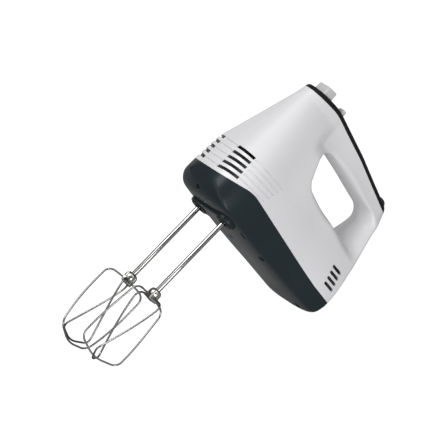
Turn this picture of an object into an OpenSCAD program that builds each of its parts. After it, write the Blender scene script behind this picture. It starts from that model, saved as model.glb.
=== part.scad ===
// Hand mixer, standing on its heel. +Z runs from the flat heel to the nose, +X from the
// underside to the top of the handle, and the beaters point along -X. Y is the width.

/* [Body] */
// Length of the body from the heel to the nose
body_len = 178; // [170:1:190]
// Height of the top of the handle over the underside
body_h = 149.5; // [146:0.5:158]
// Widest width of the body
body_w = 84; // [82:1:92]
// Width of the handle
handle_w = 29; // [27:1:34]
// Wall of the housings
wall = 2; // [1.6:0.1:2.4]
// Thickness of the dark strip on top of the handle
strip_t = 5; // [3.4:0.1:6]
// Open line between two moulded shells
seam = 0.15; // [0.05:0.05:0.3]
// Height of the split line at the heel
split_heel = 18; // [17:0.5:22]
// Height of the split line at its highest place beside the spindles
split_side = 29.5; // [27:0.5:32]
// Height of the split line at the nose
split_nose = 22; // [18:0.5:24]

/* [Hand hole] */
// Height of the hand hole's floor at the front
hole_floor = 79; // [75:1:82]
// Height of the hand hole's roof at the front
hole_roof = 116.5; // [112:0.5:118]
// Place of the hand hole's front wall, from the heel
hole_front = 107; // [102:1:110]
// Place of the hand hole's rear wall, from the heel
hole_rear = 11.5; // [11:0.5:26]
// Rounding of the hand hole's rim
rim_r = 8; // [6:0.5:12]

/* [Vents] */
// Vent slots on each side of the nose
nose_vents = 5; // [3:1:6]
// Height of the lowest nose vent
nose_vent_x = 27.6; // [27:0.1:34]
// Distance from one nose vent to the next
nose_vent_pitch = 6.5; // [5:0.25:7]
// Rise of the lowest nose vent from its inner end to its outer end
vent_rise = 3; // [0:0.5:4]
// Width of a nose vent
vent_w = 2.6; // [1.8:0.1:3]
// Vent slots on each side at the heel
heel_vents = 4; // [2:1:5]
// Length of a vent slot at the heel
heel_vent_len = 13.8; // [8:0.2:14]
// Width of a vent slot at the heel
heel_vent_w = 3.1; // [2:0.1:4]
// Distance from one heel vent to the next
heel_vent_pitch = 5.6; // [5:0.1:7]

/* [Drive] */
// Distance between the two spindles
spindle_gap = 45; // [44:0.5:46]
// Place of the spindles, from the heel
spindle_z = 135; // [132:0.5:138]
// Height of the motor shaft over the underside
motor_x = 34; // [32:0.5:36]
// Teeth of a worm wheel
wheel_teeth = 30; // [24:1:32]
// Module of the worm and its wheels
gear_module = 1; // [0.9:0.05:1.05]
// Face width of a worm wheel
wheel_w = 6; // [4:0.5:7]
// Diameter of the motor shaft
motor_shaft_d = 6; // [5:0.5:7]
// Length of the stator stack
stator_len = 36; // [28:1:38]
// Outer diameter of the armature
armature_d = 29; // [26:0.5:31]
// Radial gap of a running fit
run_fit = 0.06; // [0.03:0.01:0.1]

/* [Beaters] */
// Diameter of a beater shaft
shaft_d = 5; // [4.6:0.1:5.4]
// How far a beater shaft reaches into the body
shaft_in = 48; // [44:1:50]
// Distance from the underside to the middle of the hub
hub_reach = 97; // [85:1:105]
// Height of the hub
hub_h = 10; // [8:0.5:12]
// Radius of the wire cage, to the middle of the wire
cage_r = 21.2; // [18:0.2:21.2]
// Length of the wire cage
cage_len = 80; // [65:1:90]
// Diameter of the cage wire
wire_d = 1.9; // [1.6:0.1:2]
// Twist of the cage from top to bottom
cage_twist = 35; // [0:1:45]

/* [Controls] */
// Travel of the eject button
eject_travel = 8; // [6:0.5:8]
// Length of the eject button
eject_len = 12.5; // [10:0.5:16]
// Height of the eject button over the strip
eject_h = 8.5; // [8:0.5:10]
// Travel of the speed slider
speed_travel = 10; // [6:0.5:10]
// Length of the slider's knob
knob_len = 4.5; // [4:0.25:7]
// Travel of the turbo button
turbo_travel = 1.5; // [1:0.1:1.6]
// Gap round a button in its opening
button_gap = 0.4; // [0.3:0.05:0.6]

/* [Hidden] */
$fn = 48;

white = "#e3e3e1";
dark = "#252c33";
black = "#1c1d1f";
steel = "#b9bcc0";
copper = "#b4693a";
nylon = "#d8d4c4";

hole_mid = [(hole_floor + hole_roof) / 2 - 5.75, (hole_front + hole_rear) / 2 + 6.75];
fillet_steps = 6;
tip_z = body_len - 21;
kink_z = tip_z - 35;
top_corners = [
    [body_h - 1.7, tip_z - 11, 24], [body_h - 0.2, kink_z, 60], [body_h - 10.7, kink_z - 56, 150]
];
outline_corners = [
    [0, 0, 18], [0, body_len + 1.5, 24], [54, body_len - 0.5, 90],
    [body_h - 3.5, tip_z, 4], each top_corners, [body_h - 27.5, 0, 8]
];
hole_corners = [
    [hole_roof, hole_front, 12], [hole_floor, hole_front - 13, 12],
    [hole_floor - 9.5, hole_rear + 3, 10], [hole_roof - 9.5, hole_rear, 12]
];
split_corners = [
    [split_heel - 0.5, -10, 0], [split_heel + 0.5, 25, 60],
    [split_side + 1.5, spindle_z + 12, 45], [split_nose - 1, body_len + 3, 0]
];
flank_start = 24;
flank_end = body_h - 14.5;
nose_taper = 0.31;
nose_taper_start = 30;
nose_taper_blend = 32;
handle_z = [95, 140];
nose_power = 2.6;
edge_r = 4;
toe_r = 9;
thin_edge = 0.6;

// ---- curves ----

function unit(v) = v / norm(v);
function xy(c) = [c[0], c[1]];

// Points of the arc that rounds the corner b between a and c
function corner_arc(a, b, c, r) =
    let (u = unit(a - b), v = unit(c - b), half = acos(u * v) / 2)
    let (m = b + unit(u + v) * r / sin(half), p = b + u * r / tan(half), q = b + v * r / tan(half))
    let (start = atan2(p.y - m.y, p.x - m.x), stop = atan2(q.y - m.y, q.x - m.x))
    let (turn = (stop - start + 540) % 360 - 180)
    [for (i = [0:fillet_steps]) m + r * [cos(start + turn * i / fillet_steps),
                                         sin(start + turn * i / fillet_steps)]];

// Closed outline through corners [x, z, radius]
function rounded(c) = let (n = len(c))
    [for (i = [0:n - 1]) each corner_arc(xy(c[(i + n - 1) % n]), xy(c[i]), xy(c[(i + 1) % n]), c[i][2])];

// Open path through corners, its two ends left as they are
function rounded_path(c) = let (n = len(c))
    [xy(c[0]), for (i = [1:n - 2]) each corner_arc(xy(c[i - 1]), xy(c[i]), xy(c[i + 1]), c[i][2]),
     xy(c[n - 1])];

// Distance from o along the direction d to a closed outline
function ray_hit(poly, o, d) = max([
    for (i = [0:len(poly) - 1])
        let (p = poly[i] - o, e = poly[(i + 1) % len(poly)] - o - p, den = d.x * e.y - d.y * e.x)
        if (abs(den) > 1e-9)
            let (t = (p.x * e.y - p.y * e.x) / den, s = (p.x * d.y - p.y * d.x) / den)
            if (t > 0 && s > -1e-6 && s < 1 + 1e-6) t]);

outline = rounded(outline_corners);
hole = rounded(hole_corners);
split_path = rounded_path(split_corners);

// Height of the body's top over the underside at a distance z from the heel
function top_x(z) = ray_hit(outline, [60, z], [1, 0]) + 60;

// ---- body form ----

function lerp(a, b, t) = a + (b - a) * t;

// Place of the nose line at the height x
function front_z(x) = let (low = outline_corners[1], mid = outline_corners[2], high = outline_corners[3])
    x < mid[0] ? lerp(low[1], mid[1], x / mid[0]) : lerp(mid[1], high[1], (x - mid[0]) / (high[0] - mid[0]));

// Smooth step from 0 to 1 between a and b
function ramp(a, b, v) = (1 - cos(180 * max(0, min(1, (v - a) / (b - a))))) / 2;

// Half the width at the height x where the flank runs up into the handle
function handle_flank(x) = body_w / 2 - (body_w - handle_w) / 2 * ramp(flank_start, flank_end, x);

// Half the width at the height x where the flank runs up into the nose
function nose_flank(x) =
    let (t = max(0, min(1, (x - nose_taper_start) / nose_taper_blend)))
    let (far = max(0, x - nose_taper_start - nose_taper_blend))
    max(handle_w / 2, body_w / 2 - nose_taper * (nose_taper_blend * t * t / 2 + far));

function flank(x, z) = lerp(handle_flank(x), nose_flank(x), ramp(handle_z[0], handle_z[1], z))
    - 3 * pow(max(0, 1 - x / flank_start), 2);

// Half the width at [x, z], s_in from the hand hole and s_out from the outline
function half_width(x, z, s_in, s_out) =
    let (w = flank(x, z), u = max(0, min(1, (z - front_z(x) + w) / w)))
    let (r = edge_r + toe_r * pow(max(0, 1 - x / 30), 2))
    let (edge = s_out < r ? r * (1 - sqrt(1 - pow(1 - s_out / r, 2))) : 0)
    let (rim = s_in < rim_r ? sqrt(1 - pow(1 - s_in / rim_r, 2)) : 1)
    (w * pow(1 - pow(u, nose_power), 1 / 3) - edge) * rim;

// The body as one closed surface round the hand hole, drawn in by inset. A part of the ring,
// from one angle to another round the hole, has a flat cap at both ends.
module body_form(inset = 0, rows = 12, from = 0, to = 360, rays = 72) {
    ring = to - from == 360;
    steps = ceil(rays * (to - from) / 360);
    side = [for (i = [0:ring ? steps - 1 : steps])
        let (a = lerp(from, to, i / steps), d = [cos(a), sin(a)])
        let (near = ray_hit(hole, hole_mid, d), far = ray_hit(outline, hole_mid, d))
        for (j = [0:rows])
            let (s = lerp(near + inset, far - inset, (1 - cos(180 * j / rows)) / 2))
            let (p = hole_mid + s * d)
            [p.x, max(thin_edge, half_width(p.x, p.y, s - near - inset, far - s - inset) - inset), p.y]];
    count = len(side);
    row = rows + 1;
    points = [each side, for (p = side) [p.x, -p.y, p.z]];
    skin = [for (i = [0:steps - 1]) let (a = i * row, b = ((i + 1) * row) % (ring ? count : count + row))
        each [for (j = [0:rows - 1])
            each [[a + j, a + j + 1, b + j + 1], [a + j, b + j + 1, b + j],
                  [count + a + j, count + b + j + 1, count + a + j + 1],
                  [count + a + j, count + b + j, count + b + j + 1]],
            [a + rows, count + b + rows, b + rows], [a + rows, count + a + rows, count + b + rows],
            [a, b, count + b], [a, count + b, count + a]]];
    caps = ring ? [] : [for (j = [0:rows - 1])
        each [[j, count + j + 1, j + 1], [j, count + j, count + j + 1],
              [count - row + j, count - row + j + 1, 2 * count - row + j + 1],
              [count - row + j, 2 * count - row + j + 1, 2 * count - row + j]]];
    polyhedron(points, [each skin, each caps], convexity = 10);
}

// A flat outline in the x-z plane, extruded across the whole width
module across(points, w = body_w + 10) {
    rotate([90, 0, 0]) linear_extrude(w, center = true) polygon(points);
}

// Everything below the split line, raised by lift
module below_split(lift = 0) {
    across([[-30, -10], each [for (p = split_path) p + [lift, 0]], [-30, body_len + 6]]);
}

// Everything below the strip on top of the handle, lowered by drop
module below_strip(drop) {
    line = rounded_path([[body_h - 6.2, body_len + 20, 0], each top_corners, [body_h - 30, -10, 0]]);
    across([[-40, body_len + 20], each [for (p = line) p - [drop, 0]], [-40, -10]]);
}

// ---- helpers for solids along x and z ----

module rod_x(x0, x1, y, z, d) {
    translate([x0, y, z]) rotate([0, 90, 0]) cylinder(d = d, h = x1 - x0);
}

module rod_z(z0, z1, d, x = motor_x, y = 0) {
    translate([x, y, z0]) cylinder(d = d, h = z1 - z0);
}

module block(x0, x1, w, z0, z1, y = 0) {
    translate([x0, y - w / 2, z0]) cube([x1 - x0, w, z1 - z0]);
}

module both_sides() {
    children();
    mirror([0, 1, 0]) children();
}

// ---- housings ----

boss_h = 4.5;
boss_r = 11;
socket_d = 15;
gland_d = 16;
gland_seat = [body_h - 28.5, 0, gland_d / 2 + 0.4];
gland_tilt = 131;
gland_neck_d = 12;
cord_hole_d = 6.4;
eject_z = spindle_z + 4.5;
eject_w = 18;
rod_place = eject_z;
rod_d = 6;
speed_z = kink_z - 12;
knob_w = 8.4;
turbo_z = speed_z - speed_travel - knob_len - 2;
turbo_d = 7;

vent_start = 12;
vent_end = 35;
heel_vent_x = 28.7;
heel_vent_z = 7.9;
heel_vent_step = 1.1;

// Cuts through the front wall, from vent_start to vent_end on each side, following its curve
module nose_vent_cuts() {
    for (i = [0:nose_vents - 1], side = [-1, 1])
        hull() for (end = [[vent_start, body_len - 11, 0],
                           [vent_end, body_len - 31, vent_rise * (1 - i / nose_vents)]])
            translate([nose_vent_x + i * nose_vent_pitch + end[2] - vent_w / 2, side * end[0] - 0.5, end[1]])
                cube([vent_w, 1, 22]);
}

// Short slots through both flanks, just ahead of the heel
module heel_vent_cuts() {
    for (i = [0:heel_vents - 1], side = [-1, 1])
        hull() for (end = [0, heel_vent_len - heel_vent_w])
            translate([heel_vent_x + i * heel_vent_pitch, side * body_w / 2,
                       heel_vent_z + i * heel_vent_step + end])
                cube([heel_vent_w, body_w / 3, heel_vent_w], center = true);
}

// The gland's seat, cut through the corner of the shells
module gland_cut() {
    translate(gland_seat) rotate([0, gland_tilt, 0]) {
        translate([0, 0, -1]) cylinder(d = gland_d + 2 * seam, h = 30);
        translate([0, 0, -10]) cylinder(d = gland_neck_d + 2 * seam, h = 12);
    }
}

base_arc = [116, 228];
cover_arc = [-72, 64];
post_d = 9;
screw_d = 3;
screw_head_d = 5.6;
screw_reach = 22;
screw_depth = 12;
screw_spots = [[0, body_len - 11], [-body_w / 2 + 8, 84], [body_w / 2 - 8, 84], [-26, 11], [26, 11]];
guide_x = body_h - 37.5;
eject_base = body_h - 9;

// Posts that take the housing screws, from x0 to x1
module posts(x0, x1, d = post_d) {
    for (spot = screw_spots) rod_x(x0, x1, spot[0], spot[1], d, $fn = 24);
}

// Opening that the eject button sinks into
module eject_well(x) {
    block(x, body_h + 5, eject_w + 2 * button_gap, eject_z - eject_len / 2 - button_gap,
          eject_z + eject_len / 2 + button_gap);
}

module upper_housing() {
    color(white) difference() {
        union() {
            difference() {
                body_form();
                body_form(wall, 7);
                nose_vent_cuts();
                heel_vent_cuts();
            }
            intersection() {
                body_form(wall / 2, 7);
                union() {
                    posts(split_heel, split_side + 12);
                    block(guide_x, guide_x + wall, handle_w, hole_front, tip_z - 6);
                }
            }
        }
        below_split(seam / 2);
        difference() {
            translate([60, -body_w, -20]) cube([120, 2 * body_w, body_len + 60]);
            below_strip(strip_t);
        }
        posts(0, split_side + 8, screw_d);
        eject_well(eject_base - eject_travel - 1);
        rod_x(guide_x - 1, guide_x + wall + 1, 0, rod_place, rod_d + 2 * button_gap, $fn = 24);
        gland_cut();
    }
}

// Slots in the lower edge that a moulding latch leaves open
latch_x = 6;
latch_y = body_w / 2 - 8;
latch_w = 3;
latch_z = spindle_z - 18;
latch_len = 8;

module base_housing() {
    color(dark) difference() {
        union() {
            difference() {
                intersection() {
                    body_form(from = base_arc[0], to = base_arc[1]);
                    below_split(-seam / 2);
                }
                body_form(wall, 7, base_arc[0] - 2, base_arc[1] + 2);
            }
            difference() {
                hull() both_sides()
                    rod_x(-boss_h, wall + 6, spindle_gap / 2, spindle_z, 2 * boss_r, $fn = 32);
                hull() both_sides()
                    rod_x(wall - boss_h, wall + 7, spindle_gap / 2, spindle_z, 2 * (boss_r - wall), $fn = 32);
            }
            both_sides() rod_x(-boss_h + wall / 2, cover_x, spindle_gap / 2, spindle_z, socket_d + 2 * wall);
            for (z = [stator_z + 3, stator_z + stator_len - 3 - wall])
                block(wall / 2, motor_x - stator_h / 2, 40, z, z + wall);
            block(wall / 2 + 1, bracket_x, 26, bracket_z, bracket_z + bracket_t);
            intersection() {
                body_form(wall / 2, 7, base_arc[0], base_arc[1]);
                below_split(-seam / 2);
                posts(0, split_side + 5);
            }
        }
        both_sides() rod_x(-boss_h - 1, cover_x + 1, spindle_gap / 2, spindle_z, socket_d + 2 * seam);
        posts(-1, screw_depth, screw_head_d + 2 * button_gap);
        posts(0, split_side + 8, screw_d + button_gap);
        both_sides() block(-1, latch_x, latch_w, latch_z - latch_len / 2, latch_z + latch_len / 2, latch_y);
        rod_x(-1, wall - 0.7, 0, spindle_z - 33, 5);
    }
}

module handle_cover() {
    color(black) difference() {
        union() {
            difference() {
                body_form(from = cover_arc[0], to = cover_arc[1]);
                below_strip(strip_t - seam);
                body_form(wall, 7, cover_arc[0] - 3, cover_arc[1] + 3);
            }
            rod_x(board_x + board_t, top_x(board_z0 + 5) - wall / 2, 0, board_z0 + 5, 5);
        }
        gland_cut();
        eject_well(body_h - 15);
        block(body_h - 15, body_h + 5, stem_w + 2 * button_gap,
              speed_z - speed_travel - stem_len / 2 - button_gap, speed_z + stem_len / 2 + button_gap);
        rod_x(body_h - 15, body_h + 5, 0, turbo_z, turbo_d + 2 * button_gap);
    }
}

module cord_gland() {
    color(black) translate(gland_seat) rotate([0, gland_tilt, 0]) difference() {
        union() {
            translate([0, 0, seam - 10]) cylinder(d = gland_neck_d, h = 10);
            intersection() {
                sphere(d = gland_d);
                translate([0, 0, seam - 1]) cylinder(d = gland_d, h = gland_d);
            }
        }
        translate([0, 0, -12]) cylinder(d = cord_hole_d, h = 30);
    }
}

module socket_collars() {
    color(black) both_sides() difference() {
        union() {
            rod_x(-boss_h - 1, cover_x - 1, spindle_gap / 2, spindle_z, socket_d);
            rod_x(-boss_h - 1, -boss_h - seam, spindle_gap / 2, spindle_z, socket_d + 3);
        }
        rod_x(-boss_h - 2, cover_x, spindle_gap / 2, spindle_z, sleeve_d + 2 * button_gap);
    }
}

module housing_screws() {
    color(steel) for (spot = screw_spots) {
        rod_x(screw_depth - 2.5, screw_depth - seam, spot[0], spot[1], screw_head_d);
        rod_x(screw_depth - 1, screw_depth + screw_reach, spot[0], spot[1], screw_d - 2 * run_fit);
    }
}

// ---- controls ----

stem_w = 2.6;
switch_w = 14;
stem_len = 4;
board_x = lerp(hole_roof, body_h, 0.35);
board_t = 1.6;
board_w = 16;
board_z0 = 57;
switch_z0 = turbo_z + turbo_d / 2 + 1.3;
switch_z1 = speed_z + 7;
switch_top = body_h - 8.5;
stem_x = switch_top - 3.5;
slide_tilt = atan((top_corners[1][0] - top_corners[2][0]) / (top_corners[1][1] - top_corners[2][1]));
spring_turns = 5;
fork_x = 64;
fork_t = 3;

eject_top = body_h + eject_h - 1;

module eject_button() {
    x = eject_base;
    color(white) difference() {
        intersection() {
            block(x, eject_top, eject_w, eject_z - eject_len / 2, eject_z + eject_len / 2);
            translate([0, eject_w / 2, 0]) rotate([90, 0, 0]) linear_extrude(eject_w)
                polygon([for (p = [[x, -1], [body_h - 1, -1], [eject_top, -0.92],
                                   [eject_top - 0.8, 0.92], [body_h - 2, 1], [x, 1]])
                    [p[0], eject_z + p[1] * eject_len / 2]]);
        }
        block(x - 1, x + 4, eject_w - 2 * wall, eject_z - eject_len / 2 + wall,
              eject_z + eject_len / 2 - wall);
    }
}

// Push rod with the fork whose pins reach down onto the beater shafts
module eject_rod() {
    color(nylon) {
        rod_x(fork_x + fork_t, body_h - 5, 0, rod_place, rod_d);
        rod_x(collar_x, collar_x + 1.7, 0, rod_place, rod_d + 5);
        difference() {
            hull() {
                both_sides() rod_x(fork_x, fork_x + fork_t, spindle_gap / 2, spindle_z, 7, $fn = 24);
                rod_x(fork_x, fork_x + fork_t, 0, rod_place, 9, $fn = 24);
            }
            rod_x(fork_x - 1, fork_x + fork_t + 1, 0, spindle_z - 4, 5);
        }
        both_sides() rod_x(shaft_in + 0.3, fork_x, spindle_gap / 2, spindle_z, shaft_d - 0.5);
    }
}

// Closed tube along points, with flat ends
module wire(points, r, sides = 8) {
    n = len(points);
    way = [for (i = [0:n - 1]) unit(points[min(i + 1, n - 1)] - points[max(i - 1, 0)])];
    side0 = unit(cross(way[0], abs(way[0].z) < 0.9 ? [0, 0, 1] : [0, 1, 0]));
    // Carries the first ring's side along the path without turning it
    carry = [for (i = 0, u = side0; i < n; i = i + 1, u = i < n ? unit(u - (u * way[i]) * way[i]) : u) u];
    rings = [for (i = [0:n - 1], k = [0:sides - 1]) let (v = cross(way[i], carry[i]), a = 360 * k / sides)
        points[i] + r * (cos(a) * carry[i] + sin(a) * v)];
    skin = [for (i = [0:n - 2], k = [0:sides - 1]) let (a = i * sides, m = (k + 1) % sides)
        each [[a + k, a + m, a + sides + m], [a + k, a + sides + m, a + sides + k]]];
    polyhedron(rings, [each [for (f = skin) [f[0], f[2], f[1]]],
                       [for (k = [0:sides - 1]) k],
                       [for (k = [sides - 1:-1:0]) (n - 1) * sides + k]], convexity = 6);
}

spring_r = 5.2;
spring_wire_r = 0.5;
spring_room = 9;
// The rod's collar stays clear of the pressed spring
collar_x = guide_x + wall + spring_room + eject_travel + 0.3;

module eject_spring() {
    steps = 10;
    color(steel) wire([for (i = [0:spring_turns * steps]) let (a = 360 * i / steps)
        [guide_x + wall + spring_wire_r + 0.1
             + (spring_room - 2 * spring_wire_r - 0.2) * i / (spring_turns * steps),
         spring_r * cos(a), rod_place + spring_r * sin(a)]], spring_wire_r, 6);
}

knob_top = body_h + 4.5;

module speed_slider() {
    color(white) {
        difference() {
            block(top_x(speed_z) - 1, knob_top, knob_w, speed_z - knob_len / 2, speed_z + knob_len / 2);
            below_strip(-button_gap);
            for (z = [-1, 0, 1]) rod_y(knob_top + 0.3, speed_z + z * knob_len / 3, 1, knob_w + 2);
        }
        block(stem_x, top_x(speed_z) + 2, stem_w, speed_z - stem_len / 2, speed_z + stem_len / 2);
    }
}

module rod_y(x, z, d, h) {
    translate([x, 0, z]) rotate([90, 0, 0]) cylinder(d = d, h = h, center = true);
}

module speed_switch() {
    color(black) difference() {
        block(board_x + board_t, switch_top, switch_w, switch_z0, switch_z1);
        block(stem_x - speed_travel * sin(slide_tilt) - 0.5, switch_top + 1, stem_w + 2 * button_gap,
              speed_z - speed_travel - stem_len / 2 - 0.5, speed_z + stem_len / 2 + 0.5);
    }
}

turbo_base = top_x(turbo_z) - wall - 2;

module turbo_button() {
    color(white) {
        rod_x(turbo_base, top_x(turbo_z) + 1.6, 0, turbo_z, turbo_d);
        rod_x(turbo_base, turbo_base + 1, 0, turbo_z, turbo_d + 2);
    }
}

module turbo_switch() {
    color(black) block(board_x + board_t, turbo_base - turbo_travel - 0.3, 10,
                       turbo_z - turbo_d, turbo_z + 2.5);
}

module control_board() {
    color("#2f6b3c") block(board_x, board_x + board_t, board_w, board_z0, switch_z1 - 1);
}

cap_d = 8;
cap_len = 16;

module capacitor() {
    color("#7d2f22") rod_z(board_z0 + 10, board_z0 + 10 + cap_len, cap_d, board_x - 0.3 - cap_d / 2);
}

// ---- motor ----

stator_z = 46;
stator_h = 42;
stator_w = 56;
air_gap = 0.75;
pole_w = 14;
coil_t = 5;
coil_out = 6;
bore_d = armature_d + 2 * air_gap;
pole_y = bore_d / 2 + 2.5;

module pole_windows() {
    for (x = [-1, 1], y = [-1, 1])
        translate([x > 0 ? pole_w / 2 : -pole_w / 2 - coil_t - 0.4,
                   y > 0 ? pole_y - 0.3 : -pole_y - coil_t + 0.1])
            square([coil_t + 0.4, coil_t + 0.2]);
}

module motor_stator() {
    color(steel) translate([motor_x, 0, stator_z]) linear_extrude(stator_len) difference() {
        intersection() {
            square([stator_h, stator_w], center = true);
            circle(d = stator_w + 4);
        }
        circle(d = bore_d);
        pole_windows();
        for (y = [-1, 1]) translate([0, y * (stator_w / 2 - 1.8)]) circle(d = 2.2);
    }
}

module field_coils() {
    color(copper) both_sides() difference() {
        block(motor_x - pole_w / 2 - coil_t + 0.2, motor_x + pole_w / 2 + coil_t - 0.2, coil_t - 0.4,
              stator_z - coil_out, stator_z + stator_len + coil_out, pole_y + coil_t / 2);
        block(motor_x - pole_w / 2 - 0.2, motor_x + pole_w / 2 + 0.2, coil_t + 1,
              stator_z - 0.2, stator_z + stator_len + 0.2, pole_y + coil_t / 2);
    }
}

slots = 12;

module armature_core() {
    color(steel) translate([motor_x, 0, stator_z + 0.5]) linear_extrude(stator_len - 1) difference() {
        circle(d = armature_d);
        circle(d = motor_shaft_d + 2 * run_fit);
        for (i = [0:slots - 1]) rotate(i * 360 / slots) {
            translate([armature_d / 2 - 4.2, 0]) circle(d = 3.6);
            translate([armature_d / 2 - 4, -0.6]) square([6, 1.2]);
        }
    }
}

module armature_winding() {
    color(copper) for (z = [stator_z - 5.6, stator_z + stator_len - 0.4]) difference() {
        rod_z(z, z + 6, armature_d - 3);
        rod_z(z - 1, z + 7, motor_shaft_d + 2 * run_fit);
    }
}

comm_d = 19;
comm_z = stator_z - 21;
comm_len = 13;

module commutator() {
    color(copper) difference() {
        rod_z(comm_z, comm_z + comm_len, comm_d);
        rod_z(comm_z - 1, comm_z + comm_len + 1, motor_shaft_d + 2 * run_fit);
        for (i = [0:slots - 1]) translate([motor_x, 0, comm_z - 1]) rotate(i * 360 / slots)
            translate([comm_d / 2 - 1, -0.25, 0]) cube([2, 0.5, comm_len + 2]);
    }
}

shaft_z0 = 11;
frame_z0 = 104;
frame_z1 = spindle_z + 19;
frame_wall = 4;
worm_len = 26;

module motor_shaft() {
    color(steel) rod_z(shaft_z0, frame_z1 + frame_wall, motor_shaft_d);
}

wheel_r = gear_module * wheel_teeth / 2;
worm_r = spindle_gap / 2 - wheel_r;
axial_pitch = PI * gear_module;
tooth_half = 0.19 * axial_pitch;
tooth_up = 0.9 * gear_module;
tooth_down = 1.2 * gear_module;
flank_slope = tan(20);

// Worm with a single right-hand thread, given by rows of points along the helix. A row ends one
// turn above its start, on the fourth row after it, so the thread closes on itself.
module worm() {
    sides = 16;
    turns = floor(worm_len / axial_pitch) - 2;
    start = spindle_z - floor(turns / 2) * axial_pitch;
    tip = worm_r + tooth_up;
    root = worm_r - tooth_down;
    profile = [[-tooth_half - tooth_down * flank_slope, root], [-tooth_half + tooth_up * flank_slope, tip],
               [tooth_half - tooth_up * flank_slope, tip], [tooth_half + tooth_down * flank_slope, root]];
    rows = [for (t = [0:turns - 1], p = profile) [start + t * axial_pitch + p[0], p[1]]];
    n = len(rows);
    end_r = root - 0.4;
    z0 = spindle_z - worm_len / 2;
    function on(r, i, z) = [motor_x + r * cos(360 * i / sides), r * sin(360 * i / sides), z];
    points = [
        for (i = [0:sides - 1]) on(end_r, i, z0),
        for (row = rows, i = [0:sides - 1]) on(row[1], i, row[0] + axial_pitch * i / sides),
        for (i = [0:sides - 1]) on(end_r, i, z0 + worm_len),
        for (k = [n - 4:n - 1]) on(rows[k][1], 0, rows[k][0] + axial_pitch)
    ];
    top = n + 1;
    function at(k, i) = i < sides ? k * sides + i
        : k == 0 || k == top ? k * sides
        : k + 4 <= n ? (k + 4) * sides : (top + 1) * sides + k - (n - 3);
    skin = [for (k = [0:n], i = [0:sides - 1])
        each [[at(k, i), at(k + 1, i + 1), at(k, i + 1)], [at(k, i), at(k + 1, i), at(k + 1, i + 1)]]];
    function thread_end(e) = [[e[0], e[5], e[1]], [e[1], e[5], e[4]], [e[1], e[4], e[3]], [e[1], e[3], e[2]]];
    foot = [for (k = [0:5]) at(k, 0)];
    head = [at(top, 0), for (k = [n:-1:n - 3]) at(k, sides), at(n, 0)];
    color(nylon) difference() {
        polyhedron(points, [each skin, each thread_end(foot), each [for (f = thread_end(head)) f],
                            [for (i = [0:sides - 1]) i], [for (i = [sides - 1:-1:0]) top * sides + i]],
                   convexity = 10);
        rod_z(z0 - 1, z0 + worm_len + 1, motor_shaft_d + 2 * run_fit);
    }
}

fan_z = stator_z + stator_len + 7;
fan_d = 40;
fan_h = 8;
blades = 11;

module cooling_fan() {
    color(nylon) difference() {
        union() {
            rod_z(fan_z, fan_z + 1.5, fan_d);
            rod_z(fan_z, fan_z + fan_h, 14);
            for (i = [0:blades - 1]) translate([motor_x, 0, fan_z]) rotate(i * 360 / blades)
                translate([6, -0.6, 0]) cube([fan_d / 2 - 6.5, 1.2, fan_h]);
        }
        rod_z(fan_z - 1, fan_z + fan_h + 1, motor_shaft_d + 2 * run_fit);
    }
}

bearing_d = 14;
bearing_w = 5;
cover_x = 12;
plate_t = 3;
top_plate_x = 50;
bracket_z = 13.5;
bracket_t = 4;
bracket_x = 7;

module ring_bearing(z) {
    color("#c98f3e") difference() {
        rod_z(z, z + bearing_w, bearing_d);
        rod_z(z - 1, z + bearing_w + 1, motor_shaft_d + 2 * run_fit);
    }
}

module front_bearing() {
    ring_bearing(frame_z0 + frame_wall - bearing_w + 0.5);
}

module rear_bearing() {
    ring_bearing(bracket_z - 0.5);
}

// Cast frame over the gears: rear wall, front wall and the plate that holds the upper bushes
module gearbox_frame() {
    color(steel) difference() {
        union() {
            block(cover_x + plate_t, top_plate_x + plate_t, 58, frame_z0, frame_z0 + frame_wall);
            block(cover_x + plate_t, top_plate_x + plate_t, 40, frame_z1, frame_z1 + frame_wall);
            block(top_plate_x, top_plate_x + plate_t, spindle_gap + 22, frame_z0, frame_z1 + frame_wall);
        }
        rod_z(frame_z0 - 1, frame_z0 + frame_wall + 1, bearing_d + 2 * run_fit);
        rod_z(frame_z1 - 1, frame_z1 + frame_wall + 1, motor_shaft_d + 2 * run_fit);
        both_sides() rod_x(top_plate_x - 1, top_plate_x + plate_t + 1, spindle_gap / 2, spindle_z,
                           bush_d + 2 * run_fit);
    }
}

module gear_cover() {
    color(steel) difference() {
        block(cover_x, cover_x + plate_t, spindle_gap + 24, frame_z0, frame_z1 + frame_wall);
        both_sides() rod_x(cover_x - 1, cover_x + plate_t + 1, spindle_gap / 2, spindle_z,
                           bush_d + 2 * run_fit);
    }
}

module rear_bracket() {
    color(steel) difference() {
        union() {
            block(bracket_x, motor_x + 16, 34, bracket_z, bracket_z + bracket_t);
            both_sides() block(motor_x - 5, motor_x + 5, 8, bracket_z, comm_z + 2, 17);
        }
        rod_z(bracket_z - 1, bracket_z + bracket_t + 1, bearing_d + 2 * run_fit);
    }
}

brush_t = 5;
brush_w = 6;
brush_z = comm_z + comm_len / 2;
holder_y = 12;
holder_len = 15;

module brush_holders() {
    color("#c2a54a") both_sides() difference() {
        block(motor_x - brush_t / 2 - 1.2, motor_x + brush_t / 2 + 1.2, holder_len,
              comm_z + 2, comm_z + comm_len - 2, holder_y + holder_len / 2);
        block(motor_x - brush_t / 2 - 0.1, motor_x + brush_t / 2 + 0.1, holder_len,
              brush_z - brush_w / 2 - 0.1, brush_z + brush_w / 2 + 0.1, holder_y + holder_len / 2 - 1);
    }
}

module carbon_brushes() {
    y0 = comm_d / 2 + 0.25;
    y1 = holder_y + 7;
    color("#2b2b2d") both_sides()
        block(motor_x - brush_t / 2, motor_x + brush_t / 2, y1 - y0,
              brush_z - brush_w / 2, brush_z + brush_w / 2, (y0 + y1) / 2);
}

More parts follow.
